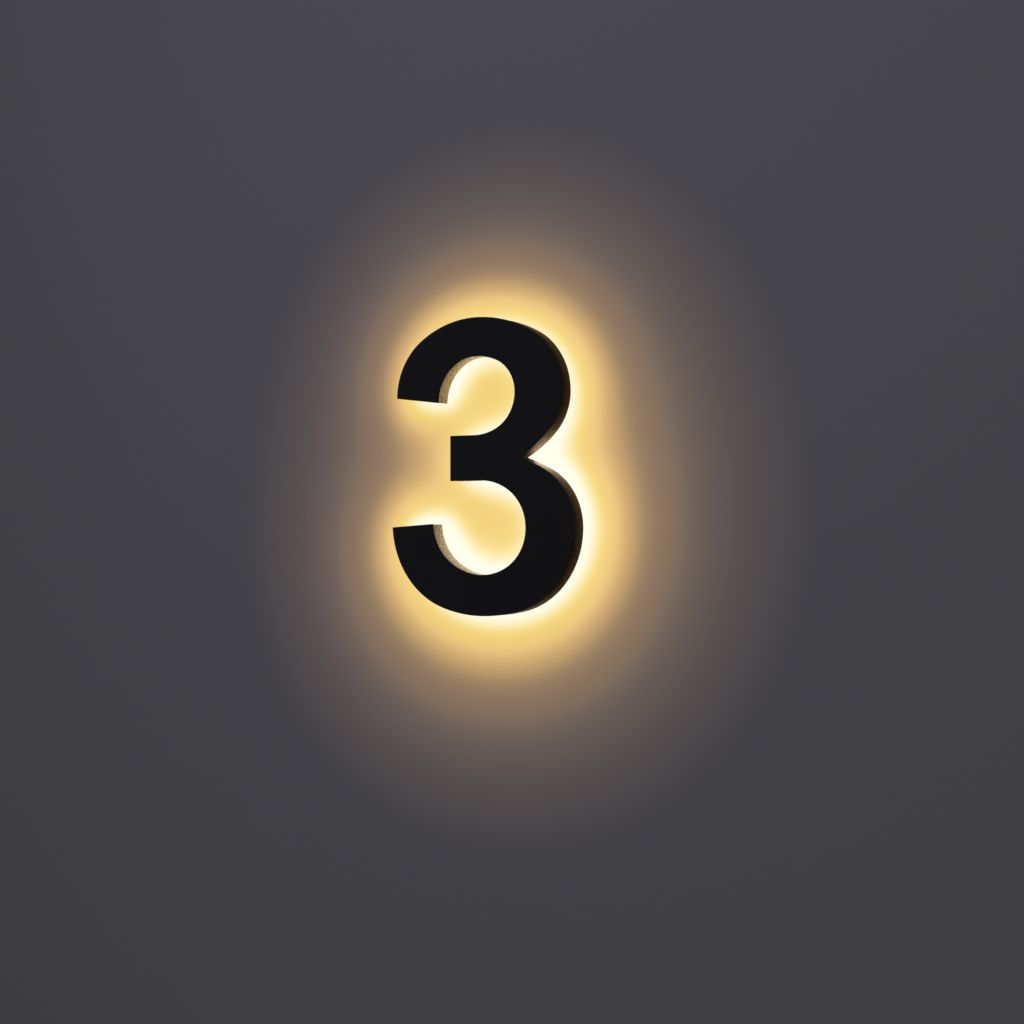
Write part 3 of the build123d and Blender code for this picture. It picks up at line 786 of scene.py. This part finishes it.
# ---------------------------------------------------------------- light modules
# Sixteen white injection-moulded modules, each with two clear lens caps, stuck to the
# plate with grey foam tape.
moulding = new_material("white_moulding", Base_Color=(0.75, 0.75, 0.72), Roughness=0.4)
place = object_place(moulding)
vary_roughness(moulding, noise(moulding, place, 300.0), 0.34, 0.5)
vary_colour(moulding, noise(moulding, place, 40.0),
            (0.3, (0.70, 0.70, 0.67)), (0.7, (0.79, 0.79, 0.76)))
relief(moulding, noise(moulding, place, 1600.0), 0.00002, strength=0.3)
lens = new_material("clear_lens", Base_Color=(0.95, 0.90, 0.78), Roughness=0.08, IOR=1.49,
                    Transmission_Weight=0.6, Emission_Color=(1.0, 0.78, 0.5),
                    Emission_Strength=2.0)
vary_roughness(lens, noise(lens, object_place(lens), 260.0), 0.04, 0.14)
foam = new_material("grey_foam_tape", Base_Color=(0.45, 0.45, 0.45), Roughness=0.9)
cells = add_node(foam, "ShaderNodeTexVoronoi", Vector=object_place(foam), Scale=2200.0)
vary_colour(foam, cells.outputs["Distance"],
            (0.0, (0.30, 0.30, 0.30)), (0.7, (0.52, 0.52, 0.52)))
relief(foam, cells.outputs["Distance"], 0.0001, strength=0.6)
dress_nodes({name: moulding for name in cad if name.startswith("led_module")})
dress_nodes({"led_lenses": lens, "module_tapes": foam})


# ---------------------------------------------------------------- terminal block and wires
# A white two-pole block with brass clamps and slotted screws, and the modules' wires in
# red and black insulation.
brass = new_material("plain_brass", Base_Color=(0.62, 0.44, 0.16), Metallic=1.0, Roughness=0.3)
place = object_place(brass)
vary_roughness(brass, noise(brass, place, 700.0, detail=3.0), 0.22, 0.45)
vary_colour(brass, noise(brass, place, 120.0),
            (0.3, (0.50, 0.34, 0.12)), (0.7, (0.68, 0.50, 0.20)))
dress_nodes({"terminal_block": moulding, "terminal_clamps": brass, "terminal_screws": steel})
for colour, dark, light in (("red", (0.30, 0.012, 0.010), (0.44, 0.022, 0.018)),
                            ("black", (0.012, 0.012, 0.012), (0.026, 0.026, 0.026))):
    sheath = new_material(f"{colour}_insulation", Base_Color=light, Roughness=0.45)
    place = object_place(sheath)
    vary_colour(sheath, noise(sheath, place, 240.0), (0.3, dark), (0.7, light))
    vary_roughness(sheath, noise(sheath, place, 600.0), 0.38, 0.55)
    dress_nodes({f"{colour}_jumpers": sheath, f"{colour}_feeds": sheath})


# ---------------------------------------------------------------- wall and its halo
# The wall that the numeral stands off, seen from its front only, with the panel's warm
# light painted on it as the wall's own glow.  It is a plain painted sheet, and it isn't
# part of the object.
def flat_stage(name, across, up, level, upright, material):
    """A flat sheet of the stage over two rows of places, as a grid of quads."""
    x, other = np.meshgrid(across, up)
    still = np.full(x.shape, level)
    layers = (x, still, other) if upright else (x, other, still)
    mesh = bpy.data.meshes.new(name)
    mesh.from_pydata(np.stack(layers, axis=-1).reshape(-1, 3).tolist(), [],
                     grid_faces(len(up), len(across)))
    sheet = stand_in_scene(name, mesh)
    mesh.materials.append(material)
    return sheet


floor_level = -1.3
wall_left, wall_right, wall_top = -1.15, 0.78, 0.82
wall_cell, fine_cell, fine_reach = 0.008, 0.004, 0.21
wall_paint = new_material("wall_paint", Base_Color=(0.120, 0.117, 0.136), Roughness=1.0,
                          Specular_IOR_Level=0.0, Emission_Strength=1.0)
across, up = (
    np.concatenate([np.arange(first, -fine_reach, wall_cell),
                    np.arange(-fine_reach, fine_reach, fine_cell),
                    np.arange(fine_reach, last, wall_cell)])
    for first, last in ((wall_left, wall_right), (floor_level, wall_top))
)
wall = flat_stage("wall", across, up, 0.0, True, wall_paint)

# The panel's light on the wall, for a panel of radiance one: each small patch of the panel
# adds its area times the square of the stand-off over pi times the fourth power of the
# slant distance.  It is kept as a share of the decades between faint and full, and the
# wall's own glow paints it there as a pool of light.
bar_middle = (-8, 11.5)
strokes = (
    (smooth_run((*bar_middle, 0), (90, 97.5, 90), (-7, 173.75, 180), (-101.3, 91.4, -90)),
     (61, 73, 52.5, 68)),
    (smooth_run((*bar_middle, 0), (110, -83, -90), (4, -172.5, 180), (-109.4, -78.5, 93)),
     (61, 75, 55, 66.5)),
    (straight((bar_left, bar_middle[1]), bar_middle), (61, 61)),
)
panel_height, patch_step, patches_across, lit_share = 0.0215, 0.008, 5, 0.9
# The painted halo is made stronger lower down and to the left of the middle.
lower_modules_more, left_modules_more = 2.6, 3.5
faint_decade, full_decade = -4.0, -0.3

wall_flat = flat_points(wall.data)
lit = np.zeros(len(wall_flat))
evenly_lit = np.zeros(len(wall_flat))
for middle, widths in strokes:
    length = run_length(middle)
    count = int(round(length / patch_step))
    distances = (np.arange(count) + 0.5) * length / count
    points, directions = along_run(middle, distances)
    widths = np.interp(distances, np.linspace(0, length, len(widths)), widths)
    widths = widths * millimetre * lit_share
    for share in (np.arange(patches_across) + 0.5) / patches_across - 0.5:
        patches = points + right_of(directions) * (share * widths)[:, None]
        slant = ((wall_flat[:, None] - patches[None]) ** 2).sum(-1) + panel_height ** 2
        area = widths / patches_across * length / count
        lower_level = 1 - lower_modules_more * patches[:, 1]
        left_level = 1 - left_modules_more * np.minimum(patches[:, 0], 0)
        light = area * panel_height ** 2 / slant ** 2 / np.pi
        evenly_lit += light.sum(1)
        lit += (light * (lower_level * left_level)).sum(1)
halo_share, even_share = (
    (np.log10(light) - faint_decade) / (full_decade - faint_decade)
    for light in (lit, evenly_lit)
)
write_pattern(wall.data, "halo", np.maximum(halo_share, 0))


def level_when_seen(owner, unseen, seen, kinds=("Camera", "Transmission", "Glossy")):
    """A strength for some kinds of ray, such as the camera's, and one for the rest."""
    rays = add_node(owner, "ShaderNodeLightPath").outputs
    any_of = rays[f"Is {kinds[0]} Ray"]
    for kind in kinds[1:]:
        any_of = add_node(owner, "ShaderNodeMath", [("operation", "MAXIMUM")],
                          _0=any_of, _1=rays[f"Is {kind} Ray"]).outputs[0]
    return level_between(owner, any_of, unseen, seen)


# The painted pool of light: the wall's glow colour follows the halo share, from nothing to
# near white.
connect(wall_paint, colour_between(
    wall_paint, read_pattern(wall_paint, "halo"),
    (0.10, (0.0, 0.0, 0.0)), (0.36, (0.12, 0.075, 0.040)), (0.53, (0.33, 0.20, 0.07)),
    (0.67, (0.73, 0.47, 0.145)), (0.85, (0.89, 0.70, 0.25)), (1.0, (0.96, 0.95, 0.78)),
), "Emission Color")

# What the wall throws back on the numeral, in gloss too, falls off more steeply than the
# halo's picture colours, which stop at white.  Right behind the panel it is weak and even,
# as the panel's own colour already holds that light.
near_falloff, near_gain, behind_level, behind_inset = 12.0, 4.3, 0.25, 0.002
edge_start = ring(behind_inset, fold_radius, fold_radius)
edge_end = np.roll(edge_start, -1, axis=0)
rise = edge_end[:, 1] - edge_start[:, 1]
run_per_rise = (edge_end[:, 0] - edge_start[:, 0]) / np.where(rise == 0, 1, rise)


def behind_numeral(flat):
    """True where a line towards +X crosses the outline an odd number of times."""
    level = flat[:, 1:2]
    passed = (edge_start[:, 1] > level) != (edge_end[:, 1] > level)
    crossing = edge_start[:, 0] + (level - edge_start[:, 1]) * run_per_rise
    return (passed & (crossing > flat[:, :1])).sum(1) % 2 == 1


close = np.abs(wall_flat).max(1) < fine_reach
thrown = near_gain * np.maximum(even_share, 0) ** near_falloff
thrown[close] = np.where(behind_numeral(wall_flat[close]), behind_level, thrown[close])
write_pattern(wall.data, "thrown", thrown)
connect(wall_paint, level_when_seen(wall_paint, read_pattern(wall_paint, "thrown"), 1.0,
                                    kinds=("Camera", "Transmission")), "Emission Strength")
wall_paint.cycles.emission_sampling = "NONE"

# Its rear side and its shadow are clear, so that the numeral is lit and seen from behind.
wall_nodes, wall_links = wall_paint.node_tree.nodes, wall_paint.node_tree.links
from_rear = add_node(wall_paint, "ShaderNodeNewGeometry").outputs["Backfacing"]
for_shadow = add_node(wall_paint, "ShaderNodeLightPath").outputs["Is Shadow Ray"]
open_to = add_node(wall_paint, "ShaderNodeMath", [("operation", "MAXIMUM")],
                   _0=from_rear, _1=for_shadow)
clear = add_node(wall_paint, "ShaderNodeBsdfTransparent")
mix = add_node(wall_paint, "ShaderNodeMixShader", _0=open_to.outputs[0],
               _1=wall_nodes["Principled BSDF"].outputs[0], _2=clear.outputs[0])
wall_links.new(mix.outputs[0], wall_nodes["Material Output"].inputs["Surface"])


# ---------------------------------------------------------------- floor and studio light
# A plain pale floor below, which looks pale to the camera at any light, and soft lamps:
# one high over the street, a weak one level with the face, and one behind the wall.
floor_paint = new_material("floor_paint", Base_Color=(0.78, 0.77, 0.75), Roughness=0.9,
                           Specular_IOR_Level=0.1, Emission_Color=(0.80, 0.80, 0.79))
floor_places = np.linspace(-60.0, 60.0, 3)
flat_stage("floor", floor_places, floor_places, floor_level, False, floor_paint)
connect(floor_paint, level_when_seen(floor_paint, 0.0, 0.7), "Emission Strength")


def add_lamp(name, centre, towards, size, power, colour):
    """A square lamp at a point, facing along a direction."""
    lamp = bpy.data.lights.new(name, "AREA")
    lamp.size, lamp.energy, lamp.color = size, power, colour
    fitting = stand_in_scene(name, lamp)
    fitting.location = centre
    fitting.rotation_euler = Vector(towards).to_track_quat("-Z", "Y").to_euler()
    fitting.visible_camera = False


add_lamp("key", (0.5, -2.6, 2.9), (-0.5, 2.6, -2.9), 1.8, 44, (1.0, 0.98, 0.96))
add_lamp("fill", (-0.35, -1.8, 0.3), (0.45, 1.8, -0.3), 0.7, 3.5, (0.92, 0.95, 1.0))
add_lamp("back", (0.9, 1.9, 1.3), (-0.9, -1.9, -1.3), 1.8, 20, (1.0, 1.0, 1.0))

world = bpy.data.worlds.new("studio")
bpy.context.scene.world = world
world.use_nodes = True
surround = world.node_tree.nodes["Background"]
surround.inputs["Color"].default_value = (0.95, 0.97, 1.0, 1.0)
world.node_tree.links.new(level_when_seen(world, 0.20, 1.0), surround.inputs["Strength"])


# ---------------------------------------------------------------- camera
# The photograph's viewpoint: 2.7 m off, 32 degrees to the right of the wall's normal and a
# little below the numeral, with a long lens.
eye_place, eye_lift, eye_turn = (1.4826, -2.3080, -0.1185), 1.215, 32.3
lens_length, sensor_width = 71.3, 36.0

eye = bpy.data.cameras.new("eye")
eye.lens, eye.sensor_width = lens_length, sensor_width
camera = stand_in_scene("eye", eye)
camera.location = eye_place
camera.rotation_euler = (np.radians(90 + eye_lift), 0, np.radians(eye_turn))
bpy.context.scene.camera = camera
bpy.context.scene.view_settings.view_transform = "Standard"
